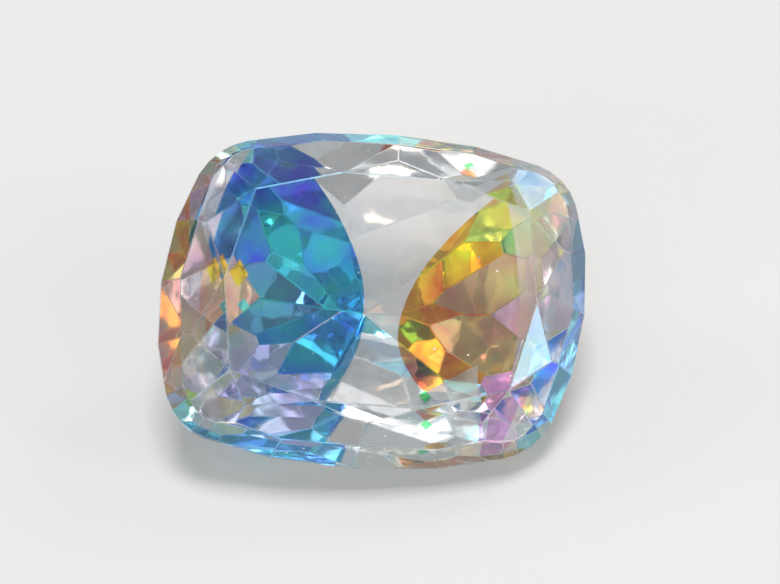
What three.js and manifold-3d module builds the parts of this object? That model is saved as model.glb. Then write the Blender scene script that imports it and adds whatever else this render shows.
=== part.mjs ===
import * as THREE from 'three';
import { mergeVertices } from 'three/addons/utils/BufferGeometryUtils.js';
import Module from 'manifold-3d';

// A loose cushion-cut quartz, millimetres, +Z up, lying on one facet of its pavilion.
// The stone is laid out table up with its girdle round z = 0, cut facet by facet, then turned to rest.

// girdle outline
const halfLength = 10.1;
const halfWidth = 8.05;
const endRadius = 15.2; // bow of the two short ends
const sideRadius = 29.0; // bow of the two long sides
const cornerRadius = 3.1;
const skew = 0.075; // the outline leans a little, x grows by this share of y

// heights
const tableHeight = 2.6;
const girdleHalf = 0.22;
const culetDepth = 7.5;

// resting facet: one of the four broad facets that meet at the culet
const restAzimuth = -75.6;
const restSlope = 34.7;

const degree = Math.PI / 180;

// Table corners in one quarter; the whole table is a ten-sided figure.
const tableEnd = [7.35, 0];
const tableShoulder = [6.5, 4.3];
const tableSide = [2.5, 5.45];

// Distance from the centre to the girdle line that faces a given azimuth.
const endCentre = halfLength - endRadius;
const sideCentre = halfWidth - sideRadius;
const endReach = endRadius - cornerRadius;
const sideReach = sideRadius - cornerRadius;
const centreGap = Math.hypot(endCentre, sideCentre);
const along = (endReach ** 2 - sideReach ** 2 + centreGap ** 2) / (2 * centreGap);
const across = Math.sqrt(endReach ** 2 - along ** 2);
const cornerX = endCentre - (endCentre * along) / centreGap - (sideCentre * across) / centreGap;
const cornerY = (sideCentre * along) / centreGap - (endCentre * across) / centreGap;
const endLimit = Math.atan2(cornerY, cornerX - endCentre);
const sideLimit = Math.atan2(cornerY - sideCentre, cornerX);

function girdleDistance(azimuth) {
  const c = Math.abs(Math.cos(azimuth * degree));
  const s = Math.abs(Math.sin(azimuth * degree));
  const turn = Math.atan2(s, c);
  if (turn <= endLimit) {
    return endCentre * c + endRadius;
  }
  if (turn >= sideLimit) {
    return sideCentre * s + sideRadius;
  }
  return cornerX * c + cornerY * s + cornerRadius;
}

// Every facet is a plane: an outward direction and its distance from the centre.
const facets = [];

function facet(azimuth, slope, distance, height, side) {
  const a = azimuth * degree;
  const s = slope * degree;
  const nx = Math.sin(s) * Math.cos(a);
  const ny = Math.sin(s) * Math.sin(a);
  const nz = side * Math.cos(s);
  const reach = Math.sin(s) * distance + nz * height;
  const normal = new THREE.Vector3(nx, ny - skew * nx, nz);
  const size = normal.length();
  normal.divideScalar(size);
  facets.push({ normal, reach: reach / size });
  return normal;
}

// The same facet at its mirror places: front and back only, or all four quarters.
function mirrored(azimuth, quarters) {
  const places = quarters ? [azimuth, 180 - azimuth, 180 + azimuth, -azimuth] : [azimuth, -azimuth];
  const wrapped = places.map((place) => (place + 360) % 360);
  return wrapped.filter((place, index) => wrapped.indexOf(place) === index);
}

// crown: table, star facets, main facets and the steep facets along the girdle
facets.push({ normal: new THREE.Vector3(0, 0, 1), reach: tableHeight });

function starFacets(from, to, slope) {
  const azimuth = Math.atan2(from[0] - to[0], to[1] - from[1]) / degree;
  const distance = from[0] * Math.cos(azimuth * degree) + from[1] * Math.sin(azimuth * degree);
  for (const place of mirrored(azimuth, true)) {
    facet(place, slope, distance, tableHeight, 1);
  }
}

function mainFacets(azimuth, corner, slope) {
  const distance = corner[0] * Math.cos(azimuth * degree) + corner[1] * Math.sin(azimuth * degree);
  for (const place of mirrored(azimuth, true)) {
    facet(place, slope, distance, tableHeight, 1);
  }
}

starFacets(tableEnd, tableShoulder, 22);
starFacets(tableShoulder, tableSide, 22);
starFacets(tableSide, [-tableSide[0], tableSide[1]], 21);
mainFacets(0, tableEnd, 30);
mainFacets(26, tableShoulder, 31.5);
mainFacets(58, tableShoulder, 31.5);
mainFacets(82.5, tableSide, 32);

const girdleFacets = [
  [5.5, 56],
  [17, 56],
  [30, 56],
  [43, 56],
  [56, 57],
  [68, 58],
  [78, 59],
  [86.5, 60],
];
for (const [azimuth, slope] of girdleFacets) {
  for (const place of mirrored(azimuth, true)) {
    facet(place, slope, girdleDistance(place), girdleHalf, 1);
    facet(place, 90, girdleDistance(place), 0, 1);
    facet(place, 58, girdleDistance(place), -girdleHalf, -1);
  }
}

// pavilion: broad facets that meet at the culet
for (const [azimuth, slope] of [[-restAzimuth, restSlope], [130, 30.4], [28, 29.5]]) {
  for (const place of mirrored(azimuth, false)) {
    facet(place, slope, 0, -culetDepth, -1);
  }
}

// Pavilion rows: azimuth, slope, and how far below the girdle the facet would meet the outline.
// Most facets come in pairs, one behind and one in front; a few differ between back and front.
const pairedRows = [
  // back and front
  [86, 43, 0.76],
  [78, 48.5, 0.26],
  [97, 49, 0.29],
  // right end, inner to outer
  [0, 31, 1.38],
  [13, 34, 0.81],
  [36, 34.8, 0.6],
  [57, 38, 0.56],
  [0, 38, 0.55],
  [25, 37.5, 0.38],
  [47, 38, 0.33],
  [68, 44, 0.28],
  [12, 42, 0.22],
  [36, 41.5, 0.14],
  [57, 43.5, 0.12],
  // left end, inner to outer
  [180, 29, 1.9],
  [155, 31, 1.14],
  [168, 32, 1.22],
  [142, 33, 0.75],
  [118, 36.5, 0.7],
  [180, 37, 0.75],
  [155, 36.5, 0.45],
  [131, 37.5, 0.38],
  [110, 42, 0.36],
  [168, 41, 0.36],
  [144, 41, 0.17],
  [122, 43.5, 0.12],
];
const singleFacets = [
  [26, 32.2, 0.88],
  [46, 33.5, 0.88],
  [-26, 32.6, 0.86],
  [-46, 34.5, 0.74],
];
for (const [azimuth, slope, drop] of pairedRows) {
  for (const place of mirrored(azimuth, false)) {
    facet(place, slope, girdleDistance(place), -girdleHalf - drop, -1);
  }
}
for (const [azimuth, slope, drop] of singleFacets) {
  facet(azimuth, slope, girdleDistance(azimuth), -girdleHalf - drop, -1);
}

// cutting: a block, and for each facet a large slab whose flat side lies on the facet
const wasm = await Module();
wasm.setup();

function toSolid(geometry) {
  const plain = geometry.clone();
  plain.deleteAttribute('normal');
  plain.deleteAttribute('uv');
  const merged = mergeVertices(plain, 1e-5);
  const vertProperties = new Float32Array(merged.attributes.position.array);
  const triVerts = new Uint32Array(merged.index.array);
  return new wasm.Manifold(new wasm.Mesh({ numProp: 3, vertProperties, triVerts }));
}

const slabSize = 60;
const outward = new THREE.Vector3(0, 0, 1);
let stone = toSolid(new THREE.BoxGeometry(3 * halfLength, 3 * halfLength, 3 * halfLength));
for (const { normal, reach } of facets) {
  const slab = new THREE.BoxGeometry(slabSize, slabSize, slabSize);
  slab.translate(0, 0, slabSize / 2 + reach);
  slab.applyQuaternion(new THREE.Quaternion().setFromUnitVectors(outward, normal));
  stone = stone.subtract(toSolid(slab));
}

const cut = stone.simplify(0.002).getMesh();
const cutGeometry = new THREE.BufferGeometry();
cutGeometry.setAttribute('position', new THREE.BufferAttribute(new Float32Array(cut.vertProperties), 3));
cutGeometry.setIndex(new THREE.BufferAttribute(new Uint32Array(cut.triVerts), 1));

// resting: the resting facet turns to face down, the long axis stays along X
const restNormal = facet(restAzimuth, restSlope, 0, -culetDepth, -1);
const up = restNormal.clone().negate();
const ahead = new THREE.Vector3(1, 0, 0).addScaledVector(up, -up.x).normalize();
const left = new THREE.Vector3().crossVectors(up, ahead);
const toRest = new THREE.Matrix4().makeBasis(ahead, left, up).transpose();
cutGeometry.applyMatrix4(toRest);
cutGeometry.computeBoundingBox();
const box = cutGeometry.boundingBox;
cutGeometry.translate(-(box.min.x + box.max.x) / 2, -(box.min.y + box.max.y) / 2, -box.min.z);

const gemGeometry = cutGeometry.toNonIndexed();
gemGeometry.computeVertexNormals();
const gemMaterial = new THREE.MeshStandardMaterial({ color: 0xbfd6e0, roughness: 0.05, metalness: 0.1 });
const gem = new THREE.Mesh(gemGeometry, gemMaterial);
gem.name = 'gem';

const group = new THREE.Group();
group.name = 'rainbow_quartz';
group.add(gem);

export default group;
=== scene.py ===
import math

import bmesh
import bpy
from mathutils import Matrix, Vector


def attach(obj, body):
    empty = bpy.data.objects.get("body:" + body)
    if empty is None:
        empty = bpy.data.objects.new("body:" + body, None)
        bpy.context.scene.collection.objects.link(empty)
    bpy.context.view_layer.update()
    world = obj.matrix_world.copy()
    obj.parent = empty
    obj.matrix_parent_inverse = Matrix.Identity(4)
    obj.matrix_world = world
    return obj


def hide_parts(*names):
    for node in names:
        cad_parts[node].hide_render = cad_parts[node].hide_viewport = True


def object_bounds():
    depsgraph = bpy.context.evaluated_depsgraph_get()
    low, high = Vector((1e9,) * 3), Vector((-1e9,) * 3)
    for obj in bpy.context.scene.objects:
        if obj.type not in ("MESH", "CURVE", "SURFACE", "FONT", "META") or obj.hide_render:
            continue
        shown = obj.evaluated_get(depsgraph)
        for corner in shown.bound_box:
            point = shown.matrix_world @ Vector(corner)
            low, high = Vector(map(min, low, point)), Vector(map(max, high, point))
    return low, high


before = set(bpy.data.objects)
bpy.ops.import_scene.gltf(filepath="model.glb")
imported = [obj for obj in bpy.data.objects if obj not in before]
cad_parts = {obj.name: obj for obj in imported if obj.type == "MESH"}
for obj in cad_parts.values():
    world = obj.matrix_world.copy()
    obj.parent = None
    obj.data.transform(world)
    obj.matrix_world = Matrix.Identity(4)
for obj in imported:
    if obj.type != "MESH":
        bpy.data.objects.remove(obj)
cadBox = [list(corner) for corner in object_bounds()]
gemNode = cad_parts["gem"]
lowest, highest = (Vector(corner) for corner in cadBox)
mm = 0.001
print("frame loaded, stone is", [round(side / mm, 1) for side in highest - lowest], "mm")

# Film colours as they tint the light that a facet turns back.
film = {
    "clear": (0.93, 0.95, 0.96),
    "beige": (0.85, 0.80, 0.62),
    "cream": (0.93, 0.88, 0.66),
    "white": (0.95, 0.96, 0.97),
    "cyan": (0.05, 0.72, 0.95),
    "teal": (0.01, 0.44, 0.58),
    "slate": (0.08, 0.36, 0.60),
    "azure": (0.03, 0.40, 0.85),
    "royal": (0.03, 0.27, 0.80),
    "cobalt": (0.05, 0.22, 0.72),
    "turquoise": (0.20, 0.90, 0.87),
    "sky": (0.50, 0.92, 0.97),
    "lavender": (0.46, 0.57, 0.90),
    "mist": (0.68, 0.77, 0.92),
    "mint": (0.62, 0.92, 0.74),
    "lemon": (0.95, 0.88, 0.10),
    "peach": (0.95, 0.64, 0.42),
    "salmon": (0.95, 0.48, 0.32),
    "orange": (0.90, 0.32, 0.02),
    "ember": (0.85, 0.20, 0.02),
    "amber": (0.92, 0.46, 0.05),
    "gold": (0.97, 0.62, 0.01),
    "umber": (0.62, 0.38, 0.13),
    "lime": (0.75, 0.88, 0.12),
    "green": (0.38, 0.70, 0.22),
    "leaf": (0.18, 0.95, 0.36),
    "mauve": (0.76, 0.66, 0.86),
    "rose": (0.95, 0.62, 0.76),
    "magenta": (0.92, 0.36, 0.74),
}

# Which film lies on which pavilion facet: azimuth, slope, film and how much of the light it turns back.
pavilionFilm = [
    (75.6, 34.7, "split", 0.85), (-75.6, 34.7, "split", 0.85),
    (86, 43, "clear", 0), (-86, 43, "beige", 0.1),
    (78, 48.5, "clear", 0), (-78, 48.5, "cream", 0.3),
    (97, 49, "beige", 0.3), (-97, 49, "turquoise", 0.2),
    # blue end, inner rows
    (130, 30.4, "azure", 0.85), (-130, 30.4, "azure", 0.85),
    (180, 29, "teal", 0.85),
    (155, 31, "cyan", 0.85), (-155, 31, "azure", 0.85),
    (168, 32, "slate", 0.85), (-168, 32, "slate", 0.85),
    (142, 33, "teal", 0.85), (-142, 33, "lavender", 0.85),
    (118, 36.5, "azure", 0.85), (-118, 36.5, "lavender", 0.85),
    # blue end, outer rows
    (180, 37, "peach", 0.85),
    (155, 36.5, "cobalt", 0.95), (-155, 36.5, "mist", 0.85),
    (131, 37.5, "royal", 0.95), (-131, 37.5, "cream", 0.85),
    (110, 42, "cobalt", 0.9), (-110, 42, "lavender", 0.85),
    (168, 41, "rose", 0.85), (-168, 41, "salmon", 0.85),
    (144, 41, "mint", 0.85), (-144, 41, "turquoise", 0.85),
    (122, 43.5, "turquoise", 0.85), (-122, 43.5, "turquoise", 0.85),
    # orange end, inner rows
    (28, 29.5, "orange", 0.92), (-28, 29.5, "orange", 0.92),
    (0, 31, "orange", 0.92),
    (26, 32.2, "gold", 0.92), (-26, 32.6, "ember", 0.92),
    (46, 33.5, "gold", 0.85), (-46, 34.5, "gold", 0.85),
    (13, 34, "umber", 0.45), (-13, 34, "umber", 0.45),
    (36, 34.8, "lime", 0.85), (-36, 34.8, "rose", 0.85),
    (57, 38, "lemon", 0.85), (-57, 38, "mauve", 0.85),
    # orange end, outer rows
    (0, 38, "rose", 0.9),
    (25, 37.5, "green", 0.93), (-25, 37.5, "magenta", 0.85),
    (47, 38, "lemon", 0.85), (-47, 38, "magenta", 0.85),
    (68, 44, "amber", 0.4), (-68, 44, "cream", 0.4),
    (12, 42, "rose", 0.85), (-12, 42, "white", 0.85),
    (36, 41.5, "mint", 0.85), (-36, 41.5, "turquoise", 0.85),
    (57, 43.5, "white", 0.85), (-57, 43.5, "cream", 0.4),
]

# The thin wash on the steep crown facets along the girdle: azimuth and film.
rimFilm = [
    (86, "turquoise"), (94, "cyan"), (102, "cyan"), (112, "cyan"), (124, "mint"), (137, "mint"),
    (150, "mint"), (163, "rose"), (174, "lime"), (-174, "salmon"), (-163, "salmon"), (-150, "lavender"),
    (-137, "turquoise"), (-124, "sky"), (-112, "white"), (-102, "sky"), (-94, "white"), (-86, "cream"),
    (-78, "cream"), (-68, "cream"), (-56, "turquoise"), (-43, "turquoise"), (-30, "mint"),
    (-17, "white"), (-6, "rose"), (6, "rose"), (17, "mauve"), (30, "mint"), (43, "lemon"),
    (56, "white"), (68, "white"), (78, "clear"),
]

# Painted reflections: small kites of film colour placed where glints show in the pavilion: millimetres along
# and across, half length, half width and film.
paintedGlints = [
    (-6.45, 1.05, 0.55, 0.75, "gold"),
    (-6.1, -0.45, 0.35, 0.4, "turquoise"),
    (-4.5, 1.75, 0.4, 0.35, "cyan"),
    (2.9, -4.2, 0.35, 0.4, "leaf"),
    (3.6, -2.15, 0.6, 0.4, "amber"),
]

# The colours that the thin film at both ends drifts through: place on the ramp and film.
pastels = [(0.38, "lavender"), (0.46, "rose"), (0.54, "cream"), (0.62, "peach")]

# Directions are the stone's own, from the middle of the girdle: x along it, y across it, z out of the table.
# Angles are in degrees, and lengths without a unit are in millimetres.
quartz = {
    "restAzimuth": -75.6,  # the facet at the point that the stone lies on
    "restSlope": 34.7,
    "skew": 0.075,  # the outline leans by this share
    "culetDepth": 7.5 * mm,
    "weld": 0.07 * mm,
    "sameFacet": 0.8,  # triangles that turn less than this make one facet
    "edgeWidth": 0.04 * mm,  # the tiny flat along every polished edge
    "sameFlat": 0.1,
    "wornFrom": 0.3,  # a face that leans this far from every facet is a worn edge
    "onPlane": 0.0001 * mm,  # corners this close to a cutting plane lie on it
    # which facets carry film
    "pavilionTo": 52,  # slope of the steepest one below the girdle
    "rimFrom": 110,  # slopes of the steep ones just above it
    "rimTo": 130,
    "slopeWeight": 4,  # a degree of slope counts for this many round the stone
    # where each film stops
    "middle": 0.5,  # the two films part here
    "blueBow": 0.09,  # how far each film's inner edge bows, per millimetre squared
    "orangeBow": 0.087,
    "orangeSouthBow": 0.075,
    "orangeStart": 1.6,
    "orangeMiddle": -1.2,
    "clipLean": 0.6,  # the orange film's slanting front edge
    "clipFrom": 5.74,
    "clipEnd": 5.35,
    "feather": 0.06,
    # how much light the painted glint kites turn back
    "glintCover": 0.95,
    "glintFull": 0.8,  # how far in from its rim a painted glint kite is at full strength
    # the film's thickness drifts, and so do its hue and brightness
    "driftScale": 0.45,
    "driftDetail": 2,
    "hueFrom": 0.35,
    "hueDrift": 0.30,
    "valueFrom": 0.6,
    "valueDrift": 0.8,
    # the film turns thin and pastel towards both ends
    "washBow": 0.03,
    "washFrom": 7.15,
    "washFull": 7.25,
    "wash": 0.5,
    "thinning": 0.6,
    "patchScale": 0.5,
    "patchDetail": 1,
    # polish and wear
    "haze": 0.03,
    "outerHaze": 0.06,  # the outer rows, from this slope
    "outerFrom": 35.5,
    "edgeHaze": 0.32,
    "polishScale": 1.6,
    "polishDetail": 3,
    "polishFrom": 0.4,
    "polishDrift": 1.2,
    "chipsPerMillimetre": 1.1,
    "chipSize": 0.06,
    "chipsLeftOut": 0.6,
    "chipCover": 0.9,
    "chipRoughness": 0.5,
    "waveScale": 0.9,
    "waveDetail": 1,
    "waveHeight": 0.007 * mm,
    # the clear stone and the thin film's shine
    "ior": 1.544,
    "shineThickness": 200,  # nanometres
    "shineIor": 1.8,
}


def restTurn():
    azimuth = math.radians(quartz["restAzimuth"])
    slope = math.radians(quartz["restSlope"])
    across = math.sin(slope) * math.cos(azimuth)
    leaned = math.sin(slope) * math.sin(azimuth) - quartz["skew"] * across
    down = Vector((across, leaned, -math.cos(slope)))
    lift = quartz["culetDepth"] * math.cos(slope) / down.length
    up = -down.normalized()
    ahead = Vector((1, 0, 0)) - up * up.x
    ahead.normalize()
    left = up.cross(ahead)
    return Matrix((ahead, left, up)), Vector((0, 0, lift))


toWorld, girdleCentre = restTurn()
toStone = toWorld.transposed()


def cutStone():
    stoneMesh = bmesh.new()
    stoneMesh.from_mesh(gemNode.data)
    bmesh.ops.remove_doubles(stoneMesh, verts=stoneMesh.verts, dist=quartz["weld"])
    bmesh.ops.dissolve_limit(stoneMesh, angle_limit=math.radians(quartz["sameFacet"]),
                             verts=stoneMesh.verts, edges=stoneMesh.edges)
    facetNormals = [face.normal.copy() for face in stoneMesh.faces]
    bmesh.ops.bevel(stoneMesh, geom=stoneMesh.edges[:], offset=quartz["edgeWidth"], segments=1,
                    affect="EDGES", clamp_overlap=False)

    # the stone is convex, so wrapping the bevelled corners again closes it exactly
    corners = [corner.co.copy() for corner in stoneMesh.verts]
    stoneMesh.clear()
    for corner in corners:
        stoneMesh.verts.new(corner)
    bmesh.ops.convex_hull(stoneMesh, input=stoneMesh.verts[:])
    unused = [corner for corner in stoneMesh.verts if not corner.link_faces]
    bmesh.ops.delete(stoneMesh, geom=unused, context="VERTS")
    bmesh.ops.dissolve_limit(stoneMesh, angle_limit=math.radians(quartz["sameFlat"]),
                             verts=stoneMesh.verts, edges=stoneMesh.edges)

    worn = stoneMesh.faces.layers.int.new("worn")
    wornFrom = math.radians(quartz["wornFrom"])
    for face in stoneMesh.faces:
        face[worn] = min(face.normal.angle(normal) for normal in facetNormals) > wornFrom

    # the broad facets at the point carry both films, so they are parted in the middle
    bmesh.ops.bisect_plane(stoneMesh, dist=quartz["onPlane"],
                           geom=stoneMesh.verts[:] + stoneMesh.edges[:] + stoneMesh.faces[:],
                           plane_co=girdleCentre + toWorld @ Vector((quartz["middle"] * mm, 0, 0)),
                           plane_no=toWorld @ Vector((1, 0, 0)))
    mesh = bpy.data.meshes.new("stone")
    stoneMesh.to_mesh(mesh)
    stoneMesh.free()
    print("stone cut,", len(mesh.polygons), "faces,", len(mesh.vertices), "corners")
    return mesh


def turnBetween(one, other):
    return abs((one - other + 180) % 360 - 180)


def filmOn(azimuth, slope):
    if slope < quartz["pavilionTo"]:
        nearest = min(pavilionFilm, key=lambda row: math.hypot(turnBetween(azimuth, row[0]),
                                                               quartz["slopeWeight"] * (slope - row[1])))
        haze = quartz["outerHaze"] if slope > quartz["outerFrom"] else quartz["haze"]
        return nearest[2], nearest[3], 1, haze
    if quartz["rimFrom"] < slope < quartz["rimTo"]:
        nearest = min(rimFilm, key=lambda row: turnBetween(azimuth, row[0]))
        return nearest[1], 0, 0, quartz["haze"]
    return "clear", 0, 0, quartz["haze"]


def layFilm(mesh):
    mesh.attributes.new("film", "FLOAT_COLOR", "CORNER")
    mesh.attributes.new("coat", "FLOAT", "CORNER")
    mesh.attributes.new("haze", "FLOAT", "CORNER")
    worn = mesh.attributes["worn"]
    colours, coats, hazes = mesh.attributes["film"], mesh.attributes["coat"], mesh.attributes["haze"]
    for polygon in mesh.polygons:
        normal = toStone @ polygon.normal
        leaned = normal.y + quartz["skew"] * normal.x
        azimuth = math.degrees(math.atan2(leaned, normal.x))
        slope = math.degrees(math.atan2(math.hypot(normal.x, leaned), -normal.z))
        name, coat, bordered, haze = filmOn(azimuth, slope)
        if name == "split":
            place = toStone @ (polygon.center - girdleCentre)
            name = "azure" if place.x < quartz["middle"] * mm else "orange"
        if worn.data[polygon.index].value:
            haze = quartz["edgeHaze"]
        for corner in polygon.loop_indices:
            colours.data[corner].color = (*film[name], bordered)
            coats.data[corner].value = coat
            hazes.data[corner].value = haze
    print("film laid")


def coatedQuartz():
    material = bpy.data.materials.new("coated quartz")
    material.use_nodes = True
    nodes, links = material.node_tree.nodes, material.node_tree.links
    shader = nodes["Principled BSDF"]
    shader.inputs["IOR"].default_value = quartz["ior"]
    shader.inputs["Transmission Weight"].default_value = 1
    shader.inputs["Thin Film Thickness"].default_value = quartz["shineThickness"]
    shader.inputs["Thin Film IOR"].default_value = quartz["shineIor"]

    # millimetres along the stone's own directions
    coordinates = nodes.new("ShaderNodeTexCoord")
    mapping = nodes.new("ShaderNodeMapping")
    perMetre = 1 / mm
    mapping.inputs["Scale"].default_value = (perMetre, perMetre, perMetre)
    mapping.inputs["Rotation"].default_value = toStone.to_euler()
    mapping.inputs["Location"].default_value = -(toStone @ girdleCentre) * perMetre
    links.new(coordinates.outputs["Object"], mapping.inputs["Vector"])
    place = mapping.outputs["Vector"]
    axes = nodes.new("ShaderNodeSeparateXYZ")
    links.new(place, axes.inputs["Vector"])
    x, y = axes.outputs["X"], axes.outputs["Y"]

    def calculate(operation, *values):
        node = nodes.new("ShaderNodeMath")
        node.operation = operation
        for socket, value in zip(node.inputs, values):
            if isinstance(value, (int, float)):
                socket.default_value = value
            else:
                links.new(value, socket)
        return node.outputs[0]

    def stretch(value, low, high, top=1):
        node = nodes.new("ShaderNodeMapRange")
        node.inputs["From Min"].default_value = low
        node.inputs["From Max"].default_value = high
        node.inputs["To Max"].default_value = top
        links.new(value, node.inputs["Value"])
        return node.outputs["Result"]

    def noise(scale, detail):
        node = nodes.new("ShaderNodeTexNoise")
        node.inputs["Scale"].default_value = scale
        node.inputs["Detail"].default_value = detail
        links.new(place, node.inputs["Vector"])
        return node.outputs["Fac"]

    def blend(share, under, over):
        node = nodes.new("ShaderNodeMix")
        node.data_type = "RGBA"
        links.new(share, node.inputs["Factor"])
        for socket, colour in ((node.inputs["A"], under), (node.inputs["B"], over)):
            if isinstance(colour, str):
                socket.default_value = (*film[colour], 1)
            else:
                links.new(colour, socket)
        return node.outputs["Result"]

    def painted(name):
        node = nodes.new("ShaderNodeAttribute")
        node.attribute_name = name
        return node.outputs

    # each film stops at a bowed edge, and the middle stays bare
    ySquared = calculate("MULTIPLY", y, y)
    blueDepth = calculate("MULTIPLY_ADD", ySquared, -quartz["blueBow"], calculate("MULTIPLY", x, -1))
    away = calculate("SUBTRACT", y, quartz["orangeMiddle"])
    south = calculate("LESS_THAN", away, 0)
    orangeBow = calculate("MULTIPLY_ADD", south, -quartz["orangeSouthBow"], -quartz["orangeBow"])
    bowed = calculate("MULTIPLY_ADD", calculate("MULTIPLY", away, away), orangeBow, x)
    orangeDepth = calculate("SUBTRACT", bowed, quartz["orangeStart"])
    slanted = calculate("ADD", calculate("MULTIPLY_ADD", x, -quartz["clipLean"], y), quartz["clipFrom"])
    clipped = calculate("MAXIMUM", slanted, calculate("SUBTRACT", x, quartz["clipEnd"]))
    depth = calculate("MAXIMUM", blueDepth, calculate("MINIMUM", orangeDepth, clipped))
    inside = stretch(depth, 0, quartz["feather"])
    filmPaint = painted("film")
    filmColour, bordered = filmPaint["Color"], filmPaint["Alpha"]
    filmed = calculate("MAXIMUM", inside, calculate("SUBTRACT", 1, bordered))

    # a few small kites of painted reflection, glints painted into the film colour
    glintShare = 0
    for along, across, halfLength, halfWidth, glintFilm in paintedGlints:
        shares = []
        for axis, middle, half in ((x, along, halfLength), (y, across, halfWidth)):
            distance = calculate("ABSOLUTE", calculate("SUBTRACT", axis, middle))
            shares.append(calculate("MULTIPLY", distance, 1 / half))
        glint = stretch(calculate("ADD", *shares), 1, quartz["glintFull"])
        glint = calculate("MULTIPLY", glint, bordered)
        filmColour = blend(glint, filmColour, glintFilm)
        glintShare = calculate("MAXIMUM", glint, glintShare)

    # the film's thickness drifts a little across a facet
    drift = noise(quartz["driftScale"], quartz["driftDetail"])
    hue = nodes.new("ShaderNodeHueSaturation")
    hueHere = calculate("MULTIPLY_ADD", drift, quartz["hueDrift"], quartz["hueFrom"])
    valueHere = calculate("MULTIPLY_ADD", drift, quartz["valueDrift"], quartz["valueFrom"])
    links.new(hueHere, hue.inputs["Hue"])
    links.new(valueHere, hue.inputs["Value"])
    links.new(filmColour, hue.inputs["Color"])

    # at both ends the film is thin and pastel, in soft patches
    pastel = nodes.new("ShaderNodeValToRGB")
    ramp = pastel.color_ramp
    first, *between, last = pastels
    for stop, (position, name) in zip(ramp.elements, (first, last)):
        stop.position = position
        stop.color = (*film[name], 1)
    for position, name in between:
        ramp.elements.new(position).color = (*film[name], 1)
    links.new(noise(quartz["patchScale"], quartz["patchDetail"]), pastel.inputs["Fac"])
    outward = calculate("MULTIPLY_ADD", ySquared, quartz["washBow"], calculate("ABSOLUTE", x))
    wash = stretch(outward, quartz["washFrom"], quartz["washFull"], quartz["wash"])
    # the pastel wash stays off the painted glint kites
    washable = calculate("MULTIPLY", bordered, calculate("SUBTRACT", 1, glintShare))
    washed = blend(calculate("MULTIPLY", wash, washable), hue.outputs["Color"], pastel.outputs["Color"])

    # how much of the light the film turns back, and where there is any film
    thickness = calculate("MULTIPLY_ADD", wash, -quartz["thinning"] / quartz["wash"], 1)
    coated = calculate("MULTIPLY", calculate("MULTIPLY", filmed, thickness), painted("coat")["Fac"])
    # the painted glint kites turn back light as well
    coated = calculate("MAXIMUM", coated, calculate("MULTIPLY", glintShare, quartz["glintCover"]))
    surface = blend(calculate("MAXIMUM", filmed, glintShare), "clear", washed)

    # fine wear: a few tiny pale chips, uneven polish and barely wavy facets
    cells = nodes.new("ShaderNodeTexVoronoi")
    cells.inputs["Scale"].default_value = quartz["chipsPerMillimetre"]
    links.new(place, cells.inputs["Vector"])
    chance = nodes.new("ShaderNodeSeparateColor")
    links.new(cells.outputs["Color"], chance.inputs["Color"])
    small = calculate("LESS_THAN", cells.outputs["Distance"], quartz["chipSize"])
    kept = calculate("GREATER_THAN", chance.outputs["Red"], quartz["chipsLeftOut"])
    chip = calculate("MULTIPLY", small, kept)
    polish = noise(quartz["polishScale"], quartz["polishDetail"])
    polish = calculate("MULTIPLY_ADD", polish, quartz["polishDrift"], quartz["polishFrom"])
    metallic = calculate("MAXIMUM", coated, calculate("MULTIPLY", chip, quartz["chipCover"]))
    roughness = calculate("MAXIMUM", calculate("MULTIPLY", painted("haze")["Fac"], polish),
                          calculate("MULTIPLY", chip, quartz["chipRoughness"]))
    links.new(blend(chip, surface, "white"), shader.inputs["Base Color"])
    links.new(metallic, shader.inputs["Metallic"])
    links.new(roughness, shader.inputs["Roughness"])
    bump = nodes.new("ShaderNodeBump")
    bump.inputs["Distance"].default_value = quartz["waveHeight"]
    links.new(noise(quartz["waveScale"], quartz["waveDetail"]), bump.inputs["Height"])
    links.new(bump.outputs["Normal"], shader.inputs["Normal"])
    return material


stone = bpy.data.objects.new("stone", cutStone())
bpy.context.collection.objects.link(stone)
layFilm(stone.data)
stone.data.materials.append(coatedQuartz())
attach(stone, "root")
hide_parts("gem")
print("stone built")


# Angles are in degrees: azimuths run clockwise from the back, elevations up from the floor.
studio = {
    "floorSide": 1.2,
    "floorGap": 0.02 * mm,
    "floorColour": (0.86, 0.855, 0.84, 1),
    "floorRoughness": 0.85,
    "viewElevation": 45.05,
    "viewAzimuth": -1.82,  # from the front, towards the right
    "viewDistance": 0.1095,
    "nearestSeen": 0.01,
    "lens": 106.15,
    "shift": (0.0196, 0.0101),
    "lightDistance": 0.6,
    "softBoxes": [  # name, azimuth, elevation, side, power and, where it isn't white, colour
        ("overhead", 0, 90, 0.20, 1.6),
        ("backRight", 51, 38, 0.15, 0.24),
        ("right", 103, 38, 0.15, 0.12),
        ("frontLeft", 220, 22, 0.15, 0.20),
        ("front", 200, 42, 0.20, 0.15),
        ("frontLeftHigh", 216, 55, 0.15, 0.07),
        ("left", 288, 36, 0.20, 0.25),
        ("frontRight", 138, 36, 0.15, 0.10),
        ("rightLow", 88, 9, 0.15, 0.05),
        ("frontHigh", 180, 55, 0.15, 0.04),
        ("window", 110, 22, 0.12, 0.30, (1, 0.86, 0.82)),
    ],
    "roomColour": (0.97, 0.98, 1.0, 1),
    "roomStrength": 0.36,
    "glossyBounces": 12,
    "transmissionBounces": 16,
    "bounces": 24,
}


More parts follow.
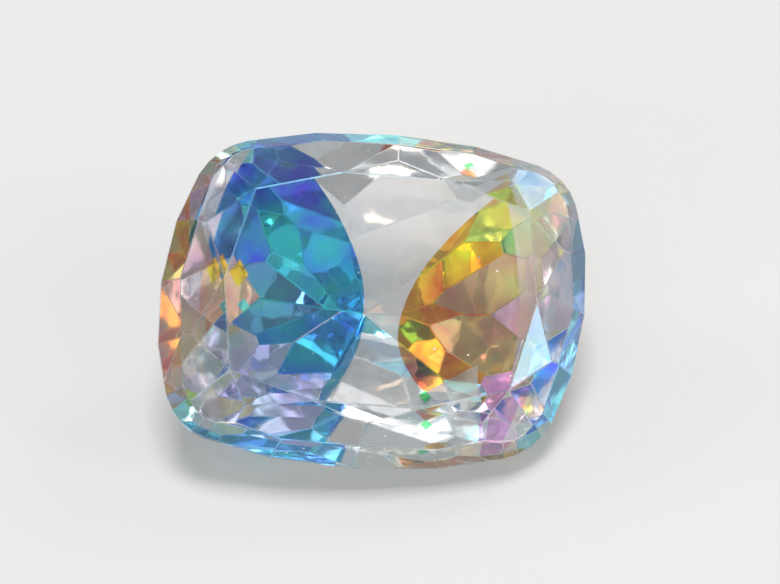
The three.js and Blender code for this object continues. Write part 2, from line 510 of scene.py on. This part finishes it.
def buildFloor():
    half = studio["floorSide"] / 2
    height = lowest.z - studio["floorGap"]
    corners = [(-half, -half, height), (half, -half, height), (half, half, height), (-half, half, height)]
    mesh = bpy.data.meshes.new("floor")
    mesh.from_pydata(corners, [], [(0, 1, 2, 3)])
    floor = bpy.data.objects.new("floor", mesh)
    bpy.context.collection.objects.link(floor)
    material = bpy.data.materials.new("pale floor")
    material.use_nodes = True
    shader = material.node_tree.nodes["Principled BSDF"]
    shader.inputs["Base Color"].default_value = studio["floorColour"]
    shader.inputs["Roughness"].default_value = studio["floorRoughness"]
    mesh.materials.append(material)


def softBox(name, azimuth, elevation, side, power, colour=(1, 1, 1)):
    light = bpy.data.lights.new(name, "AREA")
    light.shape = "SQUARE"
    light.size = side
    light.energy = power
    light.color = colour
    turn, tilt = math.radians(azimuth), math.radians(elevation)
    toward = Vector((math.sin(turn) * math.cos(tilt), math.cos(turn) * math.cos(tilt), math.sin(tilt)))
    lamp = bpy.data.objects.new(name, light)
    lamp.location = girdleCentre + toward * studio["lightDistance"]
    lamp.rotation_euler = (-toward).to_track_quat("-Z", "Y").to_euler()
    bpy.context.collection.objects.link(lamp)


def lightRoom():
    room = bpy.data.worlds.new("studio")
    room.use_nodes = True
    background = room.node_tree.nodes["Background"]
    background.inputs["Color"].default_value = studio["roomColour"]
    background.inputs["Strength"].default_value = studio["roomStrength"]
    scene = bpy.context.scene
    scene.world = room
    scene.view_settings.view_transform = "Standard"
    scene.cycles.glossy_bounces = studio["glossyBounces"]
    scene.cycles.transmission_bounces = studio["transmissionBounces"]
    scene.cycles.max_bounces = studio["bounces"]


def buildCamera():
    camera = bpy.data.cameras.new("camera")
    camera.lens = studio["lens"]
    camera.clip_start = studio["nearestSeen"]
    camera.shift_x, camera.shift_y = studio["shift"]
    eye = bpy.data.objects.new("camera", camera)
    tilt, turn = math.radians(studio["viewElevation"]), math.radians(studio["viewAzimuth"])
    sight = Vector((math.sin(turn) * math.cos(tilt), -math.cos(turn) * math.cos(tilt), math.sin(tilt)))
    eye.location = girdleCentre + sight * studio["viewDistance"]
    eye.rotation_euler = (-sight).to_track_quat("-Z", "Y").to_euler()
    bpy.context.collection.objects.link(eye)
    bpy.context.scene.camera = eye


buildFloor()
for softBoxRow in studio["softBoxes"]:
    softBox(*softBoxRow)
lightRoom()
buildCamera()
print("studio set")
